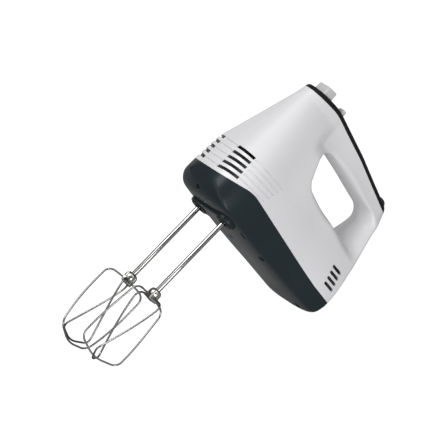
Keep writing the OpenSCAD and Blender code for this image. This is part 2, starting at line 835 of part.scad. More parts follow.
module brush_springs() {
    steps = 8;
    turns = 3;
    y0 = holder_y + 7.5;
    y1 = holder_y + holder_len - 1.5;
    color(steel) both_sides() wire([for (i = [0:turns * steps]) let (a = 360 * i / steps)
        [motor_x + 1.7 * cos(a), y0 + (y1 - y0) * i / (turns * steps), brush_z + 1.7 * sin(a)]], 0.35, 5);
}

// ---- gears and spindles ----

sleeve_d = 9;
bush_d = 14;
bush_len = 5;
sleeve_x0 = 4.5;
sleeve_x1 = 54.5;
ear_x = 14;
ear_len = 6;
ear_w = 7.6;
ear_t = 1.2;

module spindle_bushes() {
    color("#c98f3e") both_sides() for (x = [cover_x - 1, top_plate_x - 1]) difference() {
        rod_x(x, x + bush_len, spindle_gap / 2, spindle_z, bush_d);
        rod_x(x - 1, x + bush_len + 1, spindle_gap / 2, spindle_z, sleeve_d + 2 * run_fit);
    }
}

// Worm wheel on the spindle, on the side y = -1 or 1, turned so that a gap meets the thread
module drive_gear(side) {
    step = 360 / wheel_teeth;
    tip = wheel_r + tooth_up;
    root = wheel_r - tooth_down;
    half_root = tooth_half + tooth_down * flank_slope;
    half_tip = tooth_half - tooth_up * flank_slope;
    teeth = [for (i = [0:wheel_teeth - 1]) let (a = i * step - 90 * side + step / 4)
        for (p = [[root, -half_root], [tip, -half_tip], [tip, half_tip], [root, half_root]])
            let (b = a + atan(p[1] / p[0])) p[0] * [cos(b), sin(b)]];
    color(nylon) difference() {
        union() {
            translate([motor_x - wheel_w / 2, side * spindle_gap / 2, spindle_z]) rotate([0, 90, 0])
                linear_extrude(wheel_w) polygon(teeth);
            rod_x(motor_x - wheel_w / 2 - 4, motor_x + wheel_w / 2 + 4, side * spindle_gap / 2, spindle_z,
                  sleeve_d + 5);
        }
        rod_x(motor_x - wheel_w / 2 - 5, motor_x + wheel_w / 2 + 5, side * spindle_gap / 2, spindle_z,
              sleeve_d + 2 * run_fit);
    }
}

module spindle(side) {
    y = side * spindle_gap / 2;
    color(steel) difference() {
        rod_x(sleeve_x0, sleeve_x1, y, spindle_z, sleeve_d);
        rod_x(sleeve_x0 - 1, sleeve_x1 + 1, y, spindle_z, shaft_d + 2 * run_fit);
        block(sleeve_x0 - 1, ear_x + ear_len + 0.3, ear_t + 0.4,
              spindle_z - sleeve_d, spindle_z + sleeve_d, y);
    }
}

module left_drive_gear() drive_gear(-1);
module right_drive_gear() drive_gear(1);
module left_spindle() spindle(-1);
module right_spindle() spindle(1);

// ---- beaters ----

flange_w = 10.4;
flange_h = 3.4;
cage_top = hub_reach + hub_h / 2 - flange_h / 2;

module beater_shaft(side) {
    y = side * spindle_gap / 2;
    color(steel) {
        rod_x(-hub_reach - hub_h / 2, shaft_in, y, spindle_z, shaft_d);
        block(ear_x, ear_x + ear_len, ear_t, spindle_z - ear_w / 2, spindle_z + ear_w / 2, y);
    }
}

module beater_hub(side) {
    h = hub_h - flange_h;
    color(steel) translate([-hub_reach - hub_h / 2, side * spindle_gap / 2, spindle_z]) rotate([0, 90, 0])
        difference() {
            union() {
                rotate(side < 0 ? 0 : 45) translate([-flange_w / 2, -flange_w / 2, 0])
                    cube([flange_w, flange_w, flange_h]);
                rotate_extrude() polygon([
                    [0, flange_h], [flange_w / 2, flange_h], [flange_w / 2 + 1, flange_h + 1],
                    [flange_w / 2 + 0.9, flange_h + h * 0.45], [flange_w / 2 - 0.2, flange_h + h * 0.8],
                    [flange_w / 2 - 1.4, hub_h], [0, hub_h]
                ]);
            }
            translate([0, 0, -1]) cylinder(d = shaft_d + 2 * run_fit, h = hub_h + 2);
        }
}

// One bent wire of the cage: out of the hub, down one side, across the bottom and up the other
module cage_wire(side, turn, drop) {
    top = cage_top;
    out = flange_w / 2;
    foot = hub_reach + cage_len - 7 - drop;
    half = [[out, top, 0], [cage_r, top + 0.6, 5], [cage_r, foot, 7]];
    path = rounded_path([half[0], half[1], half[2], [0, foot + 9.5, 24],
                         [-half[2][0], half[2][1], 7], [-half[1][0], half[1][1], 5], [-out, top, 0]]);
    // Long straight stretches are cut short so that the twist runs round
    fine = [for (i = [0:len(path) - 2]) let (n = ceil(norm(path[i + 1] - path[i]) / 7))
                each [for (k = [0:n - 1]) lerp(path[i], path[i + 1], k / n)], path[len(path) - 1]];
    color(steel) wire([for (p = fine)
        let (a = turn + cage_twist * max(0, min(1, (p.y - top - 1) / (foot - top - 1))))
        [-p.y, side * spindle_gap / 2 + p.x * cos(a), spindle_z + p.x * sin(a)]], wire_d / 2);
}

module left_beater_shaft() beater_shaft(-1);
module right_beater_shaft() beater_shaft(1);
module left_beater_hub() beater_hub(-1);
module right_beater_hub() beater_hub(1);
module left_outer_wire() cage_wire(-1, 0, 0);
module left_inner_wire() cage_wire(-1, 90, wire_d + 0.4);
module right_outer_wire() cage_wire(1, 45, 0);
module right_inner_wire() cage_wire(1, 135, wire_d + 0.4);

// ---- placing ----

// The mixer stands on its heel with the origin at the middle of the heel's flat
heel_x = (outline_corners[0][0] + outline_corners[len(outline_corners) - 1][0]) / 2;

module stand() {
    translate([-heel_x, 0, 0]) children();
}

stand() upper_housing();
stand() base_housing();
stand() handle_cover();
stand() cord_gland();
stand() socket_collars();
stand() housing_screws();
stand() eject_button();
stand() eject_rod();
stand() eject_spring();
stand() speed_slider();
stand() speed_switch();
stand() turbo_button();
stand() turbo_switch();
stand() control_board();
stand() capacitor();
stand() motor_stator();
stand() field_coils();
stand() armature_core();
stand() armature_winding();
stand() commutator();
stand() motor_shaft();
stand() worm();
stand() cooling_fan();
stand() front_bearing();
stand() rear_bearing();
stand() gearbox_frame();
stand() gear_cover();
stand() rear_bracket();
stand() brush_holders();
stand() carbon_brushes();
stand() brush_springs();
stand() spindle_bushes();
stand() left_drive_gear();
stand() right_drive_gear();
stand() left_spindle();
stand() right_spindle();
stand() left_beater_shaft();
stand() left_beater_hub();
stand() left_outer_wire();
stand() left_inner_wire();
stand() right_beater_shaft();
stand() right_beater_hub();
stand() right_outer_wire();
stand() right_inner_wire();
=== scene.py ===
"""Looks of a hand mixer: smooth housings, chrome beaters, controls, finishes, studio and camera."""

import math

import bpy
from bpy.props import FloatProperty, FloatVectorProperty, IntProperty, PointerProperty
from mathutils import Matrix, Vector


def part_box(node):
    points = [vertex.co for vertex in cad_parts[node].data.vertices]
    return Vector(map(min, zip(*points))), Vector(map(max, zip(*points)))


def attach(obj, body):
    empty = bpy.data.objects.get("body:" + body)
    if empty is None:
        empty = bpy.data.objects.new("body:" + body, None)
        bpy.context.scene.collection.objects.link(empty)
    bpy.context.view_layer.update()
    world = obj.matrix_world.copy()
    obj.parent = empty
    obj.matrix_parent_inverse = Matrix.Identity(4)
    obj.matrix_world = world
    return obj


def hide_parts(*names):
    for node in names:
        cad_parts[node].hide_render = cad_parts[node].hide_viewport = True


bl_info = {
    "name": "Hand mixer",
    "version": (1, 0, 0),
    "blender": (4, 5, 0),
    "location": "3D View > Sidebar > Mixer",
    "description": "Builds a hand mixer round its packed frame",
    "category": "Object",
}

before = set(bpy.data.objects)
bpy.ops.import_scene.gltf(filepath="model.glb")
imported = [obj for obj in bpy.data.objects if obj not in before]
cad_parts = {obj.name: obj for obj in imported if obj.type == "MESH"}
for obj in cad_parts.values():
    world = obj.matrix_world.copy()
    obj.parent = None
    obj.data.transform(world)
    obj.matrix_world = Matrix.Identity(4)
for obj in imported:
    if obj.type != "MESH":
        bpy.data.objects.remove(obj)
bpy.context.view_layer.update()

# Heights are counted from the flat underside, and distances from the heel
UNDERSIDE = -0.061
MM = 0.001
WELD = 1e-6


# ---- small tools ----


def at(height, y, z):
    """A point given in millimetres above the underside, to the right and from the heel."""
    return Vector((UNDERSIDE + height * MM, y * MM, z * MM))


def linear(code):
    """Turns an sRGB hex colour into a linear one."""
    parts = [int(code[i : i + 2], 16) / 255 for i in (1, 3, 5)]
    return tuple(c / 12.92 if c <= 0.04045 else ((c + 0.055) / 1.055) ** 2.4 for c in parts)


def only(*things):
    """Selects these objects and nothing else, with the first one active."""
    bpy.ops.object.select_all(action="DESELECT")
    for thing in things:
        thing.select_set(True)
    bpy.context.view_layer.objects.active = things[0]


def drawn(name, points, faces):
    """A new mesh object from its points and faces."""
    mesh = bpy.data.meshes.new(name)
    mesh.from_pydata([tuple(p) for p in points], [], faces)
    thing = bpy.data.objects.new(name, mesh)
    bpy.context.collection.objects.link(thing)
    only(thing)
    bpy.ops.object.mode_set(mode="EDIT")
    bpy.ops.mesh.select_all(action="SELECT")
    bpy.ops.mesh.normals_make_consistent(inside=False)
    bpy.ops.object.mode_set(mode="OBJECT")
    return thing


def named(name):
    """Gives the primitive just added its name, with its place moved into its mesh."""
    thing = bpy.context.active_object
    thing.name = thing.data.name = name
    only(thing)
    bpy.ops.object.transform_apply(location=True, rotation=True, scale=True)
    return thing


def block(name, low, high):
    """A box between two corners."""
    bpy.ops.object.select_all(action="DESELECT")
    bpy.ops.mesh.primitive_cube_add(size=1, location=(low + high) / 2)
    bpy.context.active_object.scale = high - low
    return named(name)


def rod(name, start, end, diameter, sides=64):
    """A round bar between two points."""
    bpy.ops.object.select_all(action="DESELECT")
    way = end - start
    turn = way.to_track_quat("Z", "Y").to_euler()
    bpy.ops.mesh.primitive_cylinder_add(vertices=sides, radius=diameter * MM / 2, depth=way.length,
                                        location=(start + end) / 2, rotation=turn)
    return named(name)


def slab(name, outline, push):
    """A flat outline pushed out along a vector."""
    thing = drawn(name, outline, [list(range(len(outline)))])
    bpy.ops.object.mode_set(mode="EDIT")
    bpy.ops.mesh.select_all(action="SELECT")
    bpy.ops.mesh.extrude_region_move(TRANSFORM_OT_translate={"value": push})
    bpy.ops.mesh.select_all(action="SELECT")
    bpy.ops.mesh.normals_make_consistent(inside=False)
    bpy.ops.object.mode_set(mode="OBJECT")
    return thing


def finish(thing, kind, **settings):
    """Adds a modifier with its settings and applies it."""
    only(thing)
    bpy.ops.object.modifier_add(type=kind)
    modifier = thing.modifiers[-1]
    for key, value in settings.items():
        setattr(modifier, key, value)
    bpy.ops.object.modifier_apply(modifier=modifier.name)
    return thing


def carve(thing, *tools, how="DIFFERENCE"):
    """Cuts, joins or meets a piece with tools that are used up."""
    for tool in tools:
        finish(thing, "BOOLEAN", operation=how, object=tool, solver="MANIFOLD")
        bpy.data.objects.remove(tool, do_unlink=True)
    return thing


def rounded_edges(thing, width, segments=3, angle=30):
    """Breaks every sharp edge with a small radius."""
    return finish(thing, "BEVEL", width=width * MM, segments=segments, limit_method="ANGLE",
                  angle_limit=math.radians(angle), use_clamp_overlap=True)


def smooth(thing, angle=30):
    """Smooth shading that stays crisp at sharp edges."""
    only(thing)
    bpy.ops.object.shade_smooth_by_angle(angle=math.radians(angle))
    return thing


def turned(name, profile, start, way, steps=48):
    """A turned piece: a profile of [distance along, radius] in millimetres spun about an axis."""
    along = way.normalized()
    side = along.orthogonal().normalized()
    points = [start + along * (a * MM) + side * (r * MM) for a, r in profile]
    mesh = bpy.data.meshes.new(name)
    mesh.from_pydata(points, [(i, i + 1) for i in range(len(points) - 1)], [])
    thing = bpy.data.objects.new(name, mesh)
    bpy.context.collection.objects.link(thing)
    only(thing)
    bpy.ops.object.mode_set(mode="EDIT")
    bpy.ops.mesh.select_all(action="SELECT")
    bpy.ops.mesh.spin(steps=steps, angle=math.tau, center=start, axis=along)
    bpy.ops.mesh.select_all(action="SELECT")
    bpy.ops.mesh.remove_doubles(threshold=WELD)
    bpy.ops.mesh.normals_make_consistent(inside=False)
    bpy.ops.object.mode_set(mode="OBJECT")
    return thing


def mirrored(thing, name):
    """A copy on the other side of the mixer, its faces turned the right way again."""
    only(thing)
    bpy.ops.object.duplicate()
    copy = bpy.context.active_object
    copy.name = copy.data.name = name
    copy.data.transform(Matrix.Scale(-1, 4, (0, 1, 0)))
    copy.data.flip_normals()
    return copy


def belongs(thing, body, node, material):
    """Puts the finished piece on its body in place of its frame node."""
    thing.data.materials.clear()
    thing.data.materials.append(material)
    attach(thing, body)
    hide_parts(node)


# ---- body form, all in millimetres in the plane of heights and distances from the heel ----

BODY_W, HANDLE_W = 84, 29
TIP_Z, KINK_Z = 157, 122
NOSE_Z, NOSE_BEND, NOSE_TOP = 179.5, (54, 177.5), (146, TIP_Z)
# Corners as height, distance and radius
OUTLINE = [(-2.5, 0, 6), (-4, 85, 700), (-1, NOSE_Z, 24), (*NOSE_BEND, 90), (*NOSE_TOP, 4),
           (147.8, TIP_Z - 11, 24), (149.3, KINK_Z, 60), (138.8, KINK_Z - 56, 150), (122.2, 0, 13)]
STRIP_CORNERS = slice(5, 8)
HOLE = [(116.5, 107, 12), (79, 94, 12), (69.5, 14.5, 10), (107, 11.5, 12)]
SPLIT = [(17.5, -10, 0), (18.5, 25, 60), (31, 147, 45), (21, 181, 0)]
HOLE_MID = Vector((92, 66))
STRIP_T = 5
SEAM = 0.15
THINNEST = 0.6
CAVITY = {"rays": 144, "rows": 16}

# Places shared by several pieces
SPINDLE_Y, SPINDLE_Z, TURBO_Z = 22.5, 135, 93
SCREW_PLACES = ((0, 167), (-34, 84), (34, 84), (-26, 11), (26, 11))


def clamp(v, low=0, high=1):
    """A value held between two limits."""
    return max(low, min(high, v))


def corner_arc(before, corner, after, radius, steps=16):
    """Points of the arc that rounds a corner."""
    u, v = (before - corner).normalized(), (after - corner).normalized()
    half = math.acos(clamp(u.dot(v), -1, 1)) / 2
    middle = corner + (u + v).normalized() * radius / math.sin(half)
    first = corner + u * radius / math.tan(half) - middle
    last = corner + v * radius / math.tan(half) - middle
    start, stop = math.atan2(first.y, first.x), math.atan2(last.y, last.x)
    turn = (stop - start + 3 * math.pi) % math.tau - math.pi
    return [middle + radius * Vector((math.cos(start + turn * i / steps), math.sin(start + turn * i / steps)))
            for i in range(steps + 1)]


def rounded(corners, closed=True, steps=16):
    """A line with its corners rounded."""
    spots = [Vector(c[:2]) for c in corners]
    n = len(corners)
    middle = range(n) if closed else range(1, n - 1)
    arcs = [p for i in middle
            for p in corner_arc(spots[i - 1], spots[i], spots[(i + 1) % n], corners[i][2], steps)]
    return arcs if closed else [spots[0], *arcs, spots[-1]]


def ray_hit(line, origin, way):
    """How far it is from a point to a closed line."""
    best, parallel, slack = 0, 1e-9, 1e-6
    for p, q in zip(line, line[1:] + line[:1]):
        p, e = p - origin, q - p
        den = way.x * e.y - way.y * e.x
        if abs(den) > parallel:
            t, s = (p.x * e.y - p.y * e.x) / den, (p.x * way.y - p.y * way.x) / den
            if t > 0 and -slack < s < 1 + slack:
                best = max(best, t)
    return best


def ramp(a, b, v):
    """Smooth step from 0 to 1."""
    return (1 - math.cos(math.pi * clamp((v - a) / (b - a)))) / 2


def flank_width(x, z):
    """Half the width of the flanks: upright by the base, then drawn in to the nose or the handle."""
    # The nose bends over between heights 30 and 62, and leans in by 0.31 from there
    bend, lean, rest_of_bend = 30, 0.31, 32
    t = clamp((x - bend) / rest_of_bend)
    nose = max(HANDLE_W / 2, BODY_W / 2 - lean * (rest_of_bend / 2 * t * t + max(0, x - bend - rest_of_bend)))
    handle = BODY_W / 2 - (BODY_W - HANDLE_W) / 2 * ramp(24, 135, x)
    # The handle sets in behind a crease that runs up from the front of the hand hole
    crease = 1.5
    recess = crease * ramp(106, 117, x) * ramp(146, 128, x) * ramp(117, 111, z) * ramp(60, 100, z)
    # How much of the nose's form there is: none at the heel, all of it in front of the handle
    over_hole = ramp(100, 116, x)
    share = ramp(55, 108, z) * (1 - over_hole) + ramp(109, 124, z) * over_hole
    tuck = max(0, 1 - x / 24) ** 2
    w = handle - recess + (nose - handle + recess) * share - tuck
    # Fuller beside the hand hole, and flared at the heel
    beside_hole, heel_flare = 2, 3
    w += beside_hole * ramp(20, 60, z) * ramp(130, 90, z) * ramp(55, 75, x) * ramp(125, 105, x)
    w += heel_flare * ramp(54, 16, x) * ramp(60, 5, z)
    return w


def nose_rounding(x, z, w):
    """Share of the width that is left where the nose rounds over, seen from above."""
    (bend_x, bend_z), (top_x, top_z) = NOSE_BEND, NOSE_TOP
    if x < bend_x:
        front = NOSE_Z - (NOSE_Z - bend_z) * x / bend_x
    else:
        front = bend_z - (bend_z - top_z) * (x - bend_x) / (top_x - bend_x)
    full_w, stretch, power = 44, 0.8, 2.6
    length = w + max(0, full_w - w) * stretch
    u = clamp((z - front + length) / length)
    return max(0, 1 - u**power) ** (1 / 3)


def hole_rounding(x, z, inner, outer):
    """Share of the width that is left round the hole: tight in front, a wide funnel at the rear."""
    tight, funnel = 9, 14
    turn_in = tight + funnel * ramp(52, 12, z) * ramp(114, 88, x)
    power_in, power_out = 2.7, 0.54
    rim, whole = (max(0, 1 - max(0, 1 - v / turn_in) ** power_in) ** power_out
                  for v in (inner, inner + max(0, outer)))
    return rim / max(0.5, whole)


def half_width(x, z, inner, outer):
    """Half the body's width at a height and a distance from the heel. inner and outer are the
    distances to the hand hole and to the outline."""
    w = flank_width(x, z)
    nose = nose_rounding(x, z, w)
    # The underside is slightly cambered, so its edge takes in nearly the whole width
    edge_r, flat = 4, 12
    belly = ramp(13, 3, x)
    corner = clamp(1 - outer / (edge_r + edge_r / 2 * belly))
    edge = (edge_r + (w - flat) * belly) * (1 - math.sqrt(1 - corner**2))
    # A fine line in front of the hole, where the lining meets the flank
    lip_place, lip_spread = 5, 1.3
    lip = math.exp(-(((inner - lip_place) / lip_spread) ** 2)) * ramp(70, 92, z) * ramp(68, 76, x)
    # The handle's rear end is rounded round the cord gland
    end_length, end_depth = 11, 0.65
    end = max(0, 1 - (z + 1) / end_length)
    w *= 1 - (1 - math.sqrt(1 - end_depth * end**2)) * ramp(104, 120, x)
    return (w * nose - edge) * hole_rounding(x, z, inner, outer) - lip


def body_form(name, inset=0, rays=320, rows=60):
    """The whole body as one closed surface round the hand hole. Only its own rule gives this
    form, so its points are worked out and the shells are then cut from it."""
    outline, hole = rounded(OUTLINE), rounded(HOLE)
    side = []
    for i in range(rays):
        way = Vector((math.cos(math.tau * i / rays), math.sin(math.tau * i / rays)))
        near, far = ray_hit(hole, HOLE_MID, way), ray_hit(outline, HOLE_MID, way)
        for j in range(rows + 1):
            s = near + inset + (far - near - 2 * inset) * (1 - math.cos(math.pi * j / rows)) / 2
            p = HOLE_MID + s * way
            half = half_width(p.x, p.y, s - near - inset, far - s - inset) - inset
            side.append((p.x, max(THINNEST, half), p.y))
    n, row = len(side), rows + 1
    points = [at(*p) for p in side] + [at(p[0], -p[1], p[2]) for p in side]
    faces = []
    for i in range(rays):
        a, b = i * row, (i + 1) % rays * row
        for j in range(rows):
            faces.append((a + j, b + j, b + j + 1, a + j + 1))
            faces.append((n + a + j, n + a + j + 1, n + b + j + 1, n + b + j))
        faces.append((a + rows, b + rows, n + b + rows, n + a + rows))
        faces.append((a, n + a, n + b, b))
    return drawn(name, points, faces)


def across(name, line, half=60):
    """A slab across the whole width from a line of heights and distances."""
    return slab(name, [at(p[0], -half, p[1]) for p in line], Vector((0, 2 * half * MM, 0)))


def under_split(name, lift=0):
    """All that lies under the line where the base meets the upper housing."""
    line = [(p.x + lift, p.y) for p in rounded(SPLIT, closed=False)]
    return across(name, [(-30, -10), *line, (-30, 184)])


def under_strip(name, drop):
    """All that lies under the strip on top of the handle."""
    corners = [(143.3, 198, 0), *OUTLINE[STRIP_CORNERS], (119.5, -10, 0)]
    line = [(p.x - drop, p.y) for p in rounded(corners, closed=False)]
    return across(name, [(-40, 198), *line, (-40, -10)])


# ---- finishes ----

# Bands of a wave texture at scale 1 come every 0.314 m
WAVE = 0.314


def add(tree, kind, links=None, **settings):
    """Adds a node with its settings, and links sockets of other nodes into it."""
    made = tree.nodes.new(kind)
    for key, value in settings.items():
        if hasattr(made, key):
            setattr(made, key, value)
    for socket, value in (links or {}).items():
        if isinstance(value, bpy.types.NodeSocket):
            tree.links.new(value, made.inputs[socket])
        else:
            made.inputs[socket].default_value = value
    return made


def maths(tree, how, a, b, held=False):
    """The result of a sum or product of two sockets or numbers, held between 0 and 1 if asked."""
    return add(tree, "ShaderNodeMath", {0: a, 1: b}, operation=how, use_clamp=held).outputs["Value"]


def surface(name, colour, roughness, metallic=0.0, ior=1.5, grain=0.4, depth=0.02, mottle=0.06, patch=12,
            lines=None, stretch=(1, 1, 1), coat=0.0, coat_roughness=0.1, speck=0.0, level=0.5, rim=1.0):
    """A finish built from its real structure.

    grain is the size of its surface texture and patch that of its slow colour drift, both in
    millimetres, depth is how deep the texture is, and lines adds wire or sheet edges along one axis.
    level and rim lower the reflections, of a plastic and of a metal's edges.
    """
    material = bpy.data.materials.new(name)
    material.use_nodes = True
    tree = material.node_tree
    tree.nodes.clear()
    where = add(tree, "ShaderNodeTexCoord").outputs["Object"]
    where = add(tree, "ShaderNodeMapping", {"Vector": where, "Scale": stretch}).outputs["Vector"]
    fine = add(tree, "ShaderNodeTexNoise", {"Vector": where, "Scale": 1 / (grain * MM), "Detail": 3.0,
                                            "Roughness": 0.55}).outputs["Fac"]
    slow = add(tree, "ShaderNodeTexNoise", {"Vector": where, "Scale": 1 / (patch * MM),
                                            "Detail": 4.0}).outputs["Fac"]
    base = linear(colour)
    dark = tuple(c * (1 - mottle) for c in base) + (1,)
    light = tuple(min(1, c * (1 + mottle)) for c in base) + (1,)
    # Inputs 6 and 7 and output 2 of a mix node are its colours
    tint = add(tree, "ShaderNodeMix", {"Factor": slow, 6: dark, 7: light}, data_type="RGBA").outputs[2]
    height = fine
    if speck:
        spots = add(tree, "ShaderNodeTexVoronoi", {"Vector": where,
                                                   "Scale": 1 / (grain * 3 * MM)}).outputs["Distance"]
        mask = add(tree, "ShaderNodeMapRange", {"Value": spots, "From Min": 0.1, "From Max": 0.35,
                                                "To Min": 1 - speck, "To Max": 1.0}).outputs["Result"]
        shade = add(tree, "ShaderNodeVectorMath", {0: tint}, operation="SCALE")
        tree.links.new(mask, shade.inputs["Scale"])
        tint = shade.outputs["Vector"]
    if lines:
        axis, pitch = lines
        bands = add(tree, "ShaderNodeTexWave", {"Vector": where, "Scale": WAVE / (pitch * MM),
                                                "Distortion": 0.4, "Detail": 1.0, "Detail Scale": 2.0},
                    bands_direction=axis).outputs["Fac"]
        shade = add(tree, "ShaderNodeVectorMath", {0: tint}, operation="SCALE")
        depths = add(tree, "ShaderNodeMapRange", {"Value": bands, "To Min": 0.55, "To Max": 1.1})
        tree.links.new(depths.outputs["Result"], shade.inputs["Scale"])
        tint = shade.outputs["Vector"]
        height = maths(tree, "ADD", fine, bands)
    bump = add(tree, "ShaderNodeBump", {"Height": height, "Distance": depth * MM,
                                        "Strength": 1.0}).outputs["Normal"]
    rough = add(tree, "ShaderNodeMapRange", {"Value": slow, "From Min": 0.3, "From Max": 0.7,
                                             "To Min": roughness * 0.95,
                                             "To Max": roughness * 1.05}).outputs["Result"]
    shader = add(tree, "ShaderNodeBsdfPrincipled", {"Base Color": tint, "Roughness": rough, "Normal": bump,
                                                    "Metallic": metallic, "IOR": ior, "Coat Weight": coat,
                                                    "Coat Roughness": coat_roughness,
                                                    "Specular IOR Level": level,
                                                    "Specular Tint": (rim, rim, rim, 1)})
    add(tree, "ShaderNodeOutputMaterial", {"Surface": shader.outputs["BSDF"]})
    return material


FINISHES = {}


def make_finishes():
    """Every finish on the mixer, each named for what it is made of and how."""
    f = FINISHES
    # Injection-moulded ABS: gloss skin with a faint orange peel, cool white
    f["shell"] = surface("Moulded_ABS_gloss_white", "#EAEAEC", 0.32, ior=1.54, grain=1.6, depth=0.003,
                         mottle=0.006, patch=30, level=0.4)
    # The same resin in a blue-black colour, from a slightly duller tool
    f["base"] = surface("Moulded_ABS_satin_blueblack", "#252E32", 0.3, ior=1.54, grain=1.2, depth=0.003,
                        mottle=0.06, patch=25, level=0.15)
    f["strip"] = surface("Moulded_ABS_satin_black", "#141617", 0.4, ior=1.52, grain=0.8, depth=0.006,
                         mottle=0.1, patch=20, level=0.2)
    f["button"] = surface("Moulded_ABS_gloss_grey", "#D6D6D6", 0.34, ior=1.53, grain=0.9, depth=0.004,
                          mottle=0.02, patch=9)
    f["slider"] = surface("Moulded_ABS_gloss_darker_grey", "#E4E4E4", 0.36, ior=1.53, grain=0.9, depth=0.004,
                          mottle=0.02, patch=9)
    # Soft moulded PVC: dull, with fine pores
    f["gland"] = surface("Moulded_PVC_dull_black", "#1A1B1C", 0.5, ior=1.5, grain=0.35, depth=0.01,
                         mottle=0.15, patch=6, level=0.25)
    # Bright chromium over nickel on drawn steel: mirror with faint drawing marks along the wire
    f["chrome"] = surface("Chrome_plated_drawn_steel", "#B4B4B2", 0.1, metallic=1.0, grain=0.5, depth=0.0012,
                          mottle=0.04, patch=8, rim=0.35)
    # The wires are the same chrome as the shafts, given a darker colour: painted shade that dims their
    # reflections
    f["wire"] = surface("Chrome_plated_wire_painted_shade", "#8F8F8D", 0.2, metallic=1.0, grain=0.5, depth=0.0012,
                        mottle=0.04, patch=8, rim=0.3)
    f["hub"] = surface("Chrome_plated_sintered_steel", "#B9B8B2", 0.22, metallic=1.0, grain=0.5, depth=0.006,
                       mottle=0.1, patch=4, rim=0.5)
    f["screw"] = surface("Zinc_plated_steel", "#A9ACB0", 0.32, metallic=1.0, grain=0.3, depth=0.006,
                         mottle=0.12, patch=3)
    f["steel"] = surface("Ground_steel", "#A4A6AA", 0.22, metallic=1.0, grain=0.3, depth=0.004, mottle=0.08,
                         patch=5, stretch=(1, 1, 6))
    f["spring"] = surface("Spring_steel_wire", "#8F9196", 0.3, metallic=1.0, grain=0.25, depth=0.004,
                          mottle=0.1, patch=3)
    # Natural acetal: waxy and slightly yellow
    f["acetal"] = surface("Moulded_acetal_natural", "#DDD8C8", 0.42, ior=1.48, grain=0.8, depth=0.006,
                          mottle=0.03, patch=8)
    f["sheets"] = surface("Stacked_silicon_steel_varnished", "#6E7278", 0.45, metallic=1.0, grain=0.6,
                          depth=0.08, mottle=0.15, patch=9, lines=("Z", 1.0))
    f["copper"] = surface("Enamelled_copper_wire_wound", "#A85B2C", 0.32, metallic=1.0, grain=0.5, depth=0.15,
                          mottle=0.12, patch=5, lines=("X", 0.9), coat=0.4)
    f["copper_bars"] = surface("Copper_segments_turned", "#B8744A", 0.28, metallic=1.0, grain=0.4, depth=0.03,
                               mottle=0.1, patch=4, lines=("Y", 1.6))
    f["bronze"] = surface("Sintered_bronze_oiled", "#9A6B35", 0.42, metallic=1.0, grain=0.25, depth=0.02,
                          mottle=0.15, patch=3, speck=0.35)
    f["casting"] = surface("Die_cast_zinc_alloy", "#9DA0A4", 0.48, metallic=1.0, grain=0.9, depth=0.03,
                           mottle=0.12, patch=7, speck=0.12)
    f["brass"] = surface("Stamped_brass_sheet", "#B79A4B", 0.3, metallic=1.0, grain=0.5, depth=0.006,
                         mottle=0.08, patch=4)
    f["carbon"] = surface("Pressed_electrographite", "#232325", 0.6, ior=1.7, grain=0.3, depth=0.02,
                          mottle=0.2, patch=2)
    f["laminate"] = surface("Glass_epoxy_laminate_green", "#24593A", 0.35, ior=1.55, grain=0.6, depth=0.02,
                            mottle=0.1, patch=5, lines=("Z", 1.2))
    f["dipped"] = surface("Epoxy_dipped_film_capacitor", "#6E2318", 0.25, ior=1.55, grain=1.2, depth=0.03,
                          mottle=0.1, patch=4)


# ---- settings ----


class MixerSizes(bpy.types.PropertyGroup):
    """Sizes of the built pieces"""

    wall: FloatProperty(name="Wall", description="Wall of the housings", default=0.002, unit="LENGTH")
    groove: FloatProperty(name="Groove width", description="Width of the fine grooves behind the vents",
                          default=0.0014, unit="LENGTH")
    groove_depth: FloatProperty(name="Groove depth", description="Depth of the fine grooves", default=0.0014,
                                unit="LENGTH")
    wire: FloatProperty(name="Wire", description="Diameter of the beater wires", default=0.0019,
                        unit="LENGTH")
    wire_sides: IntProperty(name="Wire sides", description="Facets round each beater wire", default=20)


class MixerStage(bpy.types.PropertyGroup):
    """Camera, lamps and room"""

    lens: FloatProperty(name="Lens", description="Focal length of the camera", default=522, unit="CAMERA")
    distance: FloatProperty(name="Distance", description="From the camera to the mixer", default=6.0,
                            unit="LENGTH")
    key: FloatProperty(name="Key light", description="Power of the lamp over the mixer", default=4.9,
                       unit="POWER")
    fill: FloatProperty(name="Fill light", description="Power of the lamp on the near side", default=14,
                        unit="POWER")
    room: FloatProperty(name="Room light", description="Brightness of the white room", default=0.44)
    floor: FloatVectorProperty(name="Floor", description="Colour of the floor", subtype="COLOR",
                               default=linear("#8C8C8C"))


# ---- pieces ----


NOSE_VENTS, NOSE_VENT_LOW, NOSE_VENT_STEP, NOSE_VENT_RISE = 5, 27.6, 6.5, 3
NOSE_VENT_INNER, NOSE_VENT_OUTER, NOSE_VENT_LEAN, NOSE_VENT_W = 12, 34.5, 0.7, 3.2
HEEL_VENTS, HEEL_VENT_LOW, HEEL_VENT_STEP, HEEL_VENT_W = 4, 28.7, 5.6, 3.1
HEEL_VENT_START, HEEL_VENT_LEAN, HEEL_VENT_RUN = 7.9, 1.1, 10.7


def nose_vent(i):
    """Height of a nose vent at its inner end, and its rise towards the flank."""
    return NOSE_VENT_LOW + i * NOSE_VENT_STEP, NOSE_VENT_RISE * (1 - i / NOSE_VENTS)


